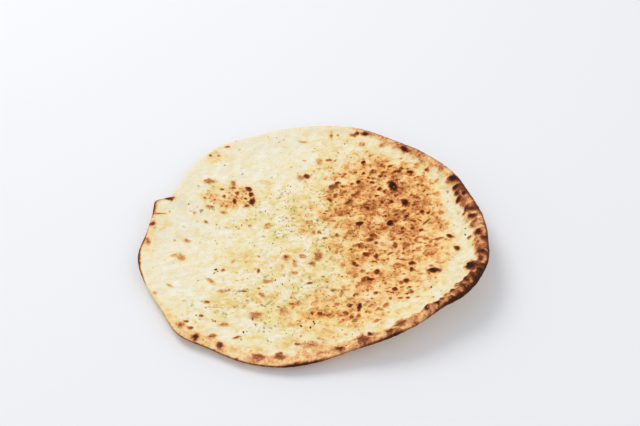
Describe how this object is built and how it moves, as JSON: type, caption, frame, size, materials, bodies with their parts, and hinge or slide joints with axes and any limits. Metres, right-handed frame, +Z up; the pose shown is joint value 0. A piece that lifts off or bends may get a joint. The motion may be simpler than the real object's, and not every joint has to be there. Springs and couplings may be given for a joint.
{
  "type": "naan bread",
  "caption": "Large, thin, hand-stretched naan flatbread with a charred, puffed rim and toasted blisters, baked in one piece and lying flat on its middle.",
  "frame": {"origin": "on the surface the bread lies on, under the centre of its outline box", "axes": "+Z up; +X towards the thick, charred side of the rim; -X towards the thin side with the pinched flap; +Y away from the front"},
  "size_m": [0.3284, 0.2994, 0.0327],
  "materials": {
    "bread": "dry baked crust, pale cream dough with golden to black toasted blisters and a faint sheen of oil"
  },
  "bodies": {
    "root": {"naan_bread": "bread"}
  },
  "joints": []
}
